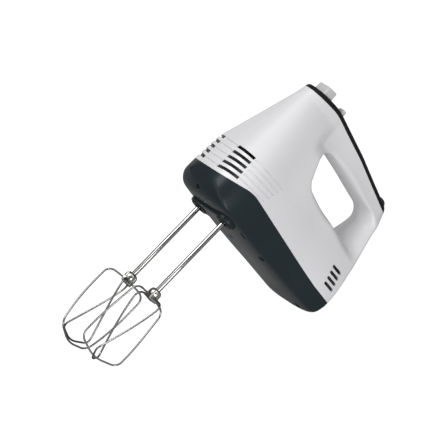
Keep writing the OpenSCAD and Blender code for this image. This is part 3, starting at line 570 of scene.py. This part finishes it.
def vent_cutters():
    """Five slots on each side of the nose and four short ones on each flank by the heel."""
    cuts = []
    for i in range(NOSE_VENTS):
        height, rise = nose_vent(i)
        near, far = NOSE_VENT_INNER, NOSE_VENT_OUTER - NOSE_VENT_LEAN * i
        for side in (-1, 1):
            outline = [at(height + lift, side * y, z)
                       for lift, y, z in ((0, near, 167), (0, near, 190), (rise, far, 170), (rise, far, 147))]
            tool = slab(f"nose_slot_{i}", outline, Vector((NOSE_VENT_W * MM, 0, 0)))
            tool.data.transform(Matrix.Translation((-NOSE_VENT_W / 2 * MM, 0, 0)))
            cuts.append(tool)
    r = HEEL_VENT_W / 2
    for i in range(HEEL_VENTS):
        height, start = HEEL_VENT_LOW + i * HEEL_VENT_STEP, HEEL_VENT_START + i * HEEL_VENT_LEAN
        for side in (-1, 1):
            line = []
            for end, sign in ((start, -1), (start + HEEL_VENT_RUN, 1)):
                for k in range(13):
                    angle = math.pi * k / 12
                    line.append((height - sign * r * math.cos(angle), end + sign * r * math.sin(angle)))
            cuts.append(slab(f"heel_slot_{i}", [at(h, side * 26, z) for h, z in line],
                             Vector((0, side * 28 * MM, 0))))
    return cuts


def groove_cutters(width, depth):
    """Fine grooves that carry the line of each vent on round the nose and back along the flank."""
    core = body_form("groove_core", inset=depth / MM, rays=200, rows=28)
    half = width / MM / 2
    past_vent, first_end, end_step = 0.6, 133, 2
    tools = []
    for i in range(NOSE_VENTS):
        height, rise = nose_vent(i)
        back = first_end - end_step * i
        for side in (-1, 1):
            # From the vent's outer end back along the flank, rising a little
            near = NOSE_VENT_OUTER + past_vent - NOSE_VENT_LEAN * i
            flat = [(height + rise, near, 176), (height + rise * 2, near, back),
                    (height + rise * 2, 60, back), (height + rise, 60, 176)]
            points = [at(h + d, side * y, z) for d in (-half, half) for h, y, z in flat]
            tools.append(drawn("groove", points, [(0, 1, 2, 3), (4, 7, 6, 5), (0, 4, 5, 1), (1, 5, 6, 2),
                                                  (2, 6, 7, 3), (3, 7, 4, 0)]))
        tools.append(block("groove", at(height - half, -11.6, 160), at(height + half, 11.6, 190)))
    for tool in tools:
        copy = core.copy()
        copy.data = core.data.copy()
        bpy.context.collection.objects.link(copy)
        carve(tool, copy)
    bpy.data.objects.remove(core, do_unlink=True)
    return tools


def button_well():
    """The well of the eject button, through the top of the nose."""
    return block("well", at(131.5, -9.4, 132.85), at(156.5, 9.4, 146.15))


class MIXER_OT_upper_shell(bpy.types.Operator):
    """Upper housing with its vents, grooves and the well of the eject button"""

    bl_idname = "mixer.upper_shell"
    bl_label = "Upper housing"

    def execute(self, context):
        sizes = context.scene.mixer_sizes
        shell = body_form("upper_shell")
        carve(shell, body_form("cavity", inset=sizes.wall / MM, **CAVITY))
        carve(shell, under_split("below", SEAM / 2))
        above = block("above", at(60, -84, -20), at(180, 84, 218))
        carve(above, under_strip("kept", STRIP_T))
        carve(shell, above)
        carve(shell, *vent_cutters())
        carve(shell, *groove_cutters(sizes.groove, sizes.groove_depth))
        carve(shell, button_well())
        carve(shell, *gland_seat())
        smooth(shell)
        belongs(shell, "housing", "upper_housing", FINISHES["shell"])
        return {"FINISHED"}


GLAND_SEAT, GLAND_TILT, GLAND_R, GLAND_NECK_R = (121, 0, 8.4), math.radians(131), 7, 6
GLAND_WAY = Vector((math.sin(GLAND_TILT), 0, math.cos(GLAND_TILT)))


def gland_seat():
    """The round seat of the cord gland, cut through the rear end of the handle."""
    seat, seat_play, neck_play = at(*GLAND_SEAT), 0.3, 0.15
    return [rod("seat", seat - GLAND_WAY * MM, seat + GLAND_WAY * 29 * MM, 2 * (GLAND_R + seat_play)),
            rod("neck_hole", seat - GLAND_WAY * 10 * MM, seat + GLAND_WAY * 2 * MM,
                2 * (GLAND_NECK_R + neck_play))]


class MIXER_OT_base_shell(bpy.types.Operator):
    """Base housing with its raised oval socket plate and screw wells"""

    bl_idname = "mixer.base_shell"
    bl_label = "Base housing"

    def execute(self, context):
        sizes = context.scene.mixer_sizes
        shell = body_form("base_shell")
        carve(shell, under_split("kept", -SEAM / 2), how="INTERSECT")
        plate_r, plate_face, plate_depth, steps = 11, -4.5, 9, 24
        oval = [at(plate_face, side * SPINDLE_Y + plate_r * math.sin(a), SPINDLE_Z + plate_r * math.cos(a))
                for side, first in ((1, 0), (-1, math.pi))
                for a in [first + math.pi * k / steps for k in range(steps + 1)]]
        plate = slab("socket_plate", oval, Vector((plate_depth * MM, 0, 0)))
        rounded_edges(plate, 1.4, 4, 60)
        carve(shell, plate, how="UNION")
        carve(shell, body_form("cavity", inset=sizes.wall / MM, **CAVITY))
        socket_d, well_d, recess_d = 15.3, 6.4, 5
        latch_y, latch_half, latch_start, latch_end = 34, 1.5, 113, 121
        for side in (-1, 1):
            y = side * SPINDLE_Y
            carve(shell, rod("socket", at(-6, y, SPINDLE_Z), at(13, y, SPINDLE_Z), socket_d))
        for y, z in SCREW_PLACES:
            carve(shell, rod("screw_well", at(-4, y, z), at(12, y, z), well_d, 40))
        for side in (-1, 1):
            latch = block("latch_slot", at(-4, side * latch_y - latch_half, latch_start),
                          at(6, side * latch_y + latch_half, latch_end))
            rounded_edges(latch, 0.8, 3)
            carve(shell, latch)
        # A shallow mark that doesn't go through the wall
        carve(shell, rod("blind_recess", at(-4, 0, 102), at(-0.6, 0, 102), recess_d, 40))
        smooth(shell)
        belongs(shell, "housing", "base_housing", FINISHES["base"])
        return {"FINISHED"}


class MIXER_OT_grip_strip(bpy.types.Operator):
    """Dark strip along the top of the handle"""

    bl_idname = "mixer.grip_strip"
    bl_label = "Handle strip"

    def execute(self, context):
        strip = body_form("grip_strip")
        carve(strip, under_strip("below", STRIP_T - SEAM))
        carve(strip, block("rest", at(-20, -60, -20), at(60, 60, 200)))
        carve(strip, button_well())
        inside, outside, slot_half, turbo_hole_d = 134.5, 156, 1.7, 7.8
        carve(strip, block("slot", at(inside, -slot_half, 97.6), at(outside, slot_half, 112.4)))
        carve(strip, rod("turbo_hole", at(inside, 0, TURBO_Z), at(outside, 0, TURBO_Z), turbo_hole_d, 48))
        carve(strip, *gland_seat())
        smooth(strip)
        belongs(strip, "housing", "handle_cover", FINISHES["strip"])
        return {"FINISHED"}


class MIXER_OT_gland(bpy.types.Operator):
    """Domed cord gland at the rear end of the handle"""

    bl_idname = "mixer.gland"
    bl_label = "Cord gland"

    def execute(self, context):
        lift, rise, bore_r = 2.6, 6.6, 3.2
        dome = [(lift + rise * math.sin(a), GLAND_R * math.cos(a))
                for a in [math.pi / 28 * k for k in range(12)]]
        profile = [(-9.85, bore_r), (-9.85, GLAND_NECK_R), (SEAM, GLAND_NECK_R), (SEAM, GLAND_R), *dome,
                   (8.7, bore_r), (-9.85, bore_r)]
        gland = turned("gland", profile, at(*GLAND_SEAT), GLAND_WAY, 64)
        smooth(gland, 40)
        belongs(gland, "housing", "cord_gland", FINISHES["gland"])
        return {"FINISHED"}


class MIXER_OT_collars(bpy.types.Operator):
    """Collars round the two beater sockets"""

    bl_idname = "mixer.collars"
    bl_label = "Socket collars"

    def execute(self, context):
        profile = [(0.4, 5), (0, 5.4), (0, 8.4), (0.5, 9), (1.35, 9), (1.35, 7.5), (16.5, 7.5), (16.5, 4.9),
                   (0.4, 4.9), (0.4, 5)]
        right = turned("collar_right", profile, at(-5.5, SPINDLE_Y, SPINDLE_Z), Vector((1, 0, 0)), 64)
        left = mirrored(right, "collar_left")
        only(right, left)
        bpy.ops.object.join()
        right.name = right.data.name = "socket_rings"
        smooth(right)
        belongs(right, "housing", "socket_collars", FINISHES["strip"])
        return {"FINISHED"}


class MIXER_OT_controls(bpy.types.Operator):
    """Eject button, speed slider and turbo button"""

    bl_idname = "mixer.controls"
    bl_label = "Controls"

    def execute(self, context):
        top, button_half = 157, 9
        side = [(140.5, 133.25), (148.5, 133.25), (top, 133.75), (top - 0.8, 145.25), (147.5, 145.75),
                (140.5, 145.75)]
        button = slab("eject_key", [at(h, -button_half, z) for h, z in side],
                      Vector((0, 2 * button_half * MM, 0)))
        rounded_edges(button, 1.1, 4, 20)
        smooth(button, 40)
        belongs(button, "eject", "eject_button", FINISHES["button"])

        knob_top, knob_half, knob_z = 154, 4.2, 110
        knob = block("speed_key", at(145.9, -knob_half, knob_z - 2.25),
                     at(knob_top, knob_half, knob_z + 2.25))
        carve(knob, under_strip("below", -0.4))
        rounded_edges(knob, 0.7, 3)
        for z in (knob_z - 1.5, knob_z, knob_z + 1.5):
            carve(knob, rod("rib", at(knob_top + 0.3, -6, z), at(knob_top + 0.3, 6, z), 1, 24))
        carve(knob, block("stem", at(137.5, -1.3, knob_z - 2), at(149, 1.3, knob_z + 2)), how="UNION")
        smooth(knob)
        belongs(knob, "slider", "speed_slider", FINISHES["slider"])

        low, high = (v.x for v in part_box("turbo_button"))
        tall = (high - low) / MM
        profile = [(0, 0), (0, 4.5), (1, 4.5), (1, 3.5), (tall - 0.7, 3.5), (tall - 0.2, 3.25), (tall, 2.6),
                   (tall - 0.25, 0)]
        turbo = turned("turbo_key", profile, Vector((low, 0, TURBO_Z * MM)), Vector((1, 0, 0)), 48)
        smooth(turbo)
        belongs(turbo, "turbo", "turbo_button", FINISHES["slider"])
        return {"FINISHED"}


class MIXER_OT_screws(bpy.types.Operator):
    """Cross-head screws at the bottom of their wells"""

    bl_idname = "mixer.screws"
    bl_label = "Screws"

    def execute(self, context):
        made = []
        for y, z in SCREW_PLACES:
            head = [(0.5, 0), (0, 1.4), (0.1, 2.3), (0.6, 2.8), (2.3, 2.8), (2.3, 1.45), (24, 1.45),
                    (24.4, 0)]
            screw = turned("screw", head, at(9.5, y, z), Vector((1, 0, 0)), 32)
            for turn in (0, 1):
                a, b = (1.5, 0.3) if turn else (0.3, 1.5)
                carve(screw, block("cross", at(9, y - a, z - b), at(10.9, y + a, z + b)))
            made.append(screw)
        only(*made)
        bpy.ops.object.join()
        made[0].name = made[0].data.name = "housing_fasteners"
        smooth(made[0])
        belongs(made[0], "housing", "housing_screws", FINISHES["screw"])
        return {"FINISHED"}


# ---- beaters ----

SHAFT_D, SHAFT_END, SHAFT_TIP, EAR_HALF = 5, -102, 48, 3.8
HUB_TOP, HUB_HOLE_R, FLANGE = -92, 2.6, 10.4
FLUTE_D, FLUTE_RING = 2.6, 6.5
CAGE_TOP, CAGE_FOOT, CAGE_R = 100.3, 172, 22


def wire_path(turn, drop, twist):
    """The bent line of one wire: out of the hub, down, across the foot and up the other side."""
    foot, inside_hub, shoulder_drop, foot_sag = CAGE_FOOT - drop, FLANGE / 2 - 1.5, 1.5, 8
    corners = [(inside_hub, CAGE_TOP, 0), (CAGE_R, CAGE_TOP + shoulder_drop, 8), (CAGE_R, foot, 9),
               (0, foot + foot_sag, 24), (-CAGE_R, foot, 9), (-CAGE_R, CAGE_TOP + shoulder_drop, 8),
               (-inside_hub, CAGE_TOP, 0)]
    line = rounded(corners, closed=False, steps=10)
    fine = []
    for p, q in zip(line, line[1:]):
        n = math.ceil((q - p).length / 3)
        fine += [p.lerp(q, k / n) for k in range(n)]
    fine.append(line[-1])
    made = []
    for p in fine:
        # The twist starts slowly under the hub
        share = clamp((p.y - CAGE_TOP - 1) / (foot - CAGE_TOP - 1)) ** 1.28
        a = math.radians(turn + twist * share)
        made.append((p.y, p.x * math.cos(a), p.x * math.sin(a)))
    return made


def wire_cage(name, side, turn, drop, twist, sizes):
    """One wire of a cage, as a swept round bar."""
    data = bpy.data.curves.new(name, "CURVE")
    data.dimensions = "3D"
    data.bevel_depth = sizes.wire / 2
    data.bevel_resolution = max(1, sizes.wire_sides // 4 - 1)
    data.use_fill_caps = True
    spline = data.splines.new("POLY")
    points = [at(-q, side * SPINDLE_Y + y, SPINDLE_Z + z) for q, y, z in wire_path(turn, drop, twist)]
    spline.points.add(len(points) - 1)
    for spot, p in zip(spline.points, points):
        spot.co = (*p, 1)
    thing = bpy.data.objects.new(name, data)
    bpy.context.collection.objects.link(thing)
    only(thing)
    bpy.ops.object.convert(target="MESH")
    return smooth(bpy.context.active_object, 60)


class MIXER_OT_beaters(bpy.types.Operator):
    """Both beaters: shafts, fluted hubs and twisted wire cages"""

    bl_idname = "mixer.beaters"
    bl_label = "Beaters"

    def execute(self, context):
        sizes = context.scene.mixer_sizes
        # The cages are twisted opposite ways and set 45 degrees apart, so that they mesh
        for word, side, phase, twist in (("left", -1, 0, -45), ("right", 1, 45, 50)):
            y = side * SPINDLE_Y
            body = f"{word}_beater"
            shaft = rod(f"{word}_shaft", at(SHAFT_END, y, SPINDLE_Z), at(SHAFT_TIP, y, SPINDLE_Z), SHAFT_D)
            rounded_edges(shaft, 0.5, 3, 60)
            ears = block("ears", at(14, y - 0.6, SPINDLE_Z - EAR_HALF), at(20, y + 0.6, SPINDLE_Z + EAR_HALF))
            rounded_edges(ears, 0.25, 2)
            carve(shaft, ears, how="UNION")
            smooth(shaft, 35)
            belongs(shaft, body, f"{word}_beater_shaft", FINISHES["chrome"])

            profile = [(0, HUB_HOLE_R), (0, 3.6), (0.5, 4.6), (1.3, 5.4), (2.4, 6.0), (3.8, 6.3), (6.3, 6.3),
                       (6.8, 6.0), (6.9, 5.2), (6.9, HUB_HOLE_R), (0, HUB_HOLE_R)]
            hub = turned(f"{word}_hub", profile, at(HUB_TOP, y, SPINDLE_Z), Vector((-1, 0, 0)), 72)
            for k in range(4):
                a = math.radians(phase + 45 + 90 * k)
                spot = Vector((0, math.cos(a), math.sin(a))) * FLUTE_RING * MM
                carve(hub, rod("flute", at(HUB_TOP - 1.6, y, SPINDLE_Z) + spot,
                               at(HUB_TOP - 8, y, SPINDLE_Z) + spot, FLUTE_D, 32))
            plate = block("plate", at(-103.4, y - FLANGE / 2, SPINDLE_Z - FLANGE / 2),
                          at(-98.7, y + FLANGE / 2, SPINDLE_Z + FLANGE / 2))
            rounded_edges(plate, 0.5, 3)
            axis = at(0, y, SPINDLE_Z)
            turn = Matrix.Rotation(math.radians(phase), 4, "X")
            plate.data.transform(Matrix.Translation(axis) @ turn @ Matrix.Translation(-axis))
            carve(plate, rod("bore", at(-105, y, SPINDLE_Z), at(-97, y, SPINDLE_Z), 5.12, 48))
            only(hub, plate)
            bpy.ops.object.join()
            smooth(hub, 35)
            belongs(hub, body, f"{word}_beater_hub", FINISHES["hub"])
            # The inner loop crosses the outer one, and its foot stops short of the outer one's
            for kind, extra, drop in (("outer", 0, 0), ("inner", 90, 2.3)):
                wire = wire_cage(f"{word}_{kind}_loop", side, phase + extra, drop, twist, sizes)
                belongs(wire, body, f"{word}_{kind}_wire", FINISHES["wire"])
        return {"FINISHED"}


INNER = {
    "acetal": ["eject_rod", "worm", "cooling_fan", "left_drive_gear", "right_drive_gear"],
    "spring": ["eject_spring", "brush_springs"],
    "strip": ["speed_switch", "turbo_switch"],
    "laminate": ["control_board"],
    "dipped": ["capacitor"],
    "sheets": ["motor_stator", "armature_core"],
    "copper": ["field_coils", "armature_winding"],
    "copper_bars": ["commutator"],
    "steel": ["motor_shaft", "left_spindle", "right_spindle"],
    "bronze": ["front_bearing", "rear_bearing", "spindle_bushes"],
    "casting": ["gearbox_frame", "gear_cover", "rear_bracket"],
    "brass": ["brush_holders"],
    "carbon": ["carbon_brushes"],
}


class MIXER_OT_inner_parts(bpy.types.Operator):
    """Finishes of the motor, gears and switches inside the housings"""

    bl_idname = "mixer.inner_parts"
    bl_label = "Inner parts"

    def execute(self, context):
        for finish_name, nodes in INNER.items():
            for node in nodes:
                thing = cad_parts[node]
                for slot in thing.material_slots:
                    slot.material = FINISHES[finish_name]
        return {"FINISHED"}


# ---- studio ----

# The camera's own directions
RIGHT = Vector((0.689, -0.500, -0.524)).normalized()
UP = Vector((0.710, 0.325, 0.624))
UP = (UP - UP.dot(RIGHT) * RIGHT).normalized()
BACK = RIGHT.cross(UP)
TARGET = at(1.1, 12.6, 109.1)
FLOOR_SIZE, FLOOR_DROP = 12, 0.0001
PAPER_GRAIN, PAPER_LIFT, PAPER_IN_GLOSS = 900.0, 0.93, 0.15
# Painted reflection: brightness that only glossy things see, from in front of the camera to behind it, white
# beyond the mixer, dark to the sides, a bright band towards the camera and dark behind it
PAINTED_REFLECTION_STOPS = ((0.12, 1), (0.24, 0.1), (0.58, 0.1), (0.66, 1.3), (0.86, 1.3), (0.93, 0.15))


class MIXER_OT_stage(bpy.types.Operator):
    """White floor and room, soft lamps and the camera"""

    bl_idname = "mixer.stage"
    bl_label = "Studio"

    def execute(self, context):
        stage = context.scene.mixer_stage
        scene = context.scene
        bpy.ops.object.select_all(action="DESELECT")
        bpy.ops.mesh.primitive_plane_add(size=FLOOR_SIZE, location=(0, 0, -FLOOR_DROP))
        floor = named("studio_floor")
        material = bpy.data.materials.new("Matt_white_paper_sweep")
        material.use_nodes = True
        tree = material.node_tree
        tree.nodes.clear()
        where = add(tree, "ShaderNodeTexCoord").outputs["Object"]
        grain = add(tree, "ShaderNodeTexNoise", {"Vector": where, "Scale": PAPER_GRAIN}).outputs["Fac"]
        bump = add(tree, "ShaderNodeBump", {"Height": grain, "Distance": 0.00005}).outputs["Normal"]
        paper = add(tree, "ShaderNodeBsdfDiffuse", {"Color": (*stage.floor, 1),
                                                    "Normal": bump}).outputs["BSDF"]
        rays = add(tree, "ShaderNodeLightPath").outputs
        faint = maths(tree, "MULTIPLY", rays["Is Glossy Ray"], PAPER_IN_GLOSS)
        seen = maths(tree, "ADD", rays["Is Camera Ray"], faint)
        seen = maths(tree, "ADD", seen, rays["Is Transmission Ray"], held=True)
        lift = maths(tree, "MULTIPLY", seen, PAPER_LIFT)
        glow = add(tree, "ShaderNodeEmission", {"Color": (1, 1, 1, 1), "Strength": lift}).outputs["Emission"]
        both = add(tree, "ShaderNodeAddShader", {0: paper, 1: glow}).outputs["Shader"]
        add(tree, "ShaderNodeOutputMaterial", {"Surface": both})
        floor.data.materials.append(material)

        world = bpy.data.worlds.new("White_room")
        scene.world = world
        world.use_nodes = True
        tree = world.node_tree
        tree.nodes.clear()
        rays = add(tree, "ShaderNodeLightPath").outputs
        way = add(tree, "ShaderNodeTexCoord").outputs["Generated"]
        # Glossy rays alone see painted reflection bands, dark and bright, while the room lights diffuse rays
        # evenly
        toward = add(tree, "ShaderNodeVectorMath", {0: way, 1: BACK},
                     operation="DOT_PRODUCT").outputs["Value"]
        painted_reflection = add(tree, "ShaderNodeValToRGB", {"Fac": add(tree, "ShaderNodeMapRange", {
            "Value": toward, "From Min": -1.0, "From Max": 1.0}).outputs["Result"]})
        stops = painted_reflection.color_ramp.elements
        for stop, (place, level) in zip(stops, PAINTED_REFLECTION_STOPS):
            stop.position, stop.color = place, (level, level, level, 1)
        for place, level in PAINTED_REFLECTION_STOPS[2:]:
            stops.new(place).color = (level, level, level, 1)
        painted_reflection = painted_reflection.outputs["Color"]
        seen = maths(tree, "ADD", rays["Is Camera Ray"], rays["Is Transmission Ray"], held=True)
        gloss = maths(tree, "MULTIPLY", painted_reflection, rays["Is Glossy Ray"])
        room = maths(tree, "MULTIPLY", rays["Is Diffuse Ray"], stage.room)
        level = maths(tree, "ADD", gloss, room)
        level = maths(tree, "MAXIMUM", level, seen)
        sky = add(tree, "ShaderNodeBackground", {"Color": (1, 1, 1, 1),
                                                 "Strength": level}).outputs["Background"]
        add(tree, "ShaderNodeOutputWorld", {"Surface": sky})

        for name, place, size, power in (("key_lamp", (0.15, -0.08, 1.2), 0.55, stage.key),
                                         ("fill_lamp", (-0.5, -1.5, 0.25), 0.8, stage.fill)):
            bpy.ops.object.light_add(type="AREA", location=place)
            lamp = context.active_object
            lamp.name = name
            lamp.data.size = size
            lamp.data.energy = power
            lamp.rotation_euler = (Vector(place) - TARGET).to_track_quat("Z", "Y").to_euler()

        bpy.ops.object.camera_add(location=TARGET + BACK * stage.distance)
        camera = context.active_object
        camera.name = "camera"
        camera.rotation_euler = Matrix((RIGHT, UP, BACK)).transposed().to_euler()
        camera.data.lens = stage.lens
        camera.data.sensor_width = 36
        camera.data.clip_end = 100
        scene.camera = camera
        scene.view_settings.view_transform = "Standard"
        return {"FINISHED"}


class MIXER_PT_pieces(bpy.types.Panel):
    """Buttons that build the mixer's pieces"""

    bl_label = "Hand mixer"
    bl_idname = "MIXER_PT_pieces"
    bl_space_type = "VIEW_3D"
    bl_region_type = "UI"
    bl_category = "Mixer"

    def draw(self, context):
        for group in (context.scene.mixer_sizes, context.scene.mixer_stage):
            for name in group.__annotations__:
                self.layout.prop(group, name)
        for operator in OPERATORS:
            self.layout.operator(operator.bl_idname)


OPERATORS = (MIXER_OT_upper_shell, MIXER_OT_base_shell, MIXER_OT_grip_strip, MIXER_OT_gland, MIXER_OT_collars,
             MIXER_OT_controls, MIXER_OT_screws, MIXER_OT_beaters, MIXER_OT_inner_parts, MIXER_OT_stage)
CLASSES = (MixerSizes, MixerStage, *OPERATORS, MIXER_PT_pieces)


def register():
    for cls in CLASSES:
        bpy.utils.register_class(cls)
    bpy.types.Scene.mixer_sizes = PointerProperty(type=MixerSizes)
    bpy.types.Scene.mixer_stage = PointerProperty(type=MixerStage)


def unregister():
    del bpy.types.Scene.mixer_sizes, bpy.types.Scene.mixer_stage
    for cls in reversed(CLASSES):
        bpy.utils.unregister_class(cls)


def main():
    register()
    make_finishes()
    for operator in OPERATORS:
        group, call = operator.bl_idname.split(".")
        getattr(getattr(bpy.ops, group), call)()


if __name__ == "__main__":
    main()
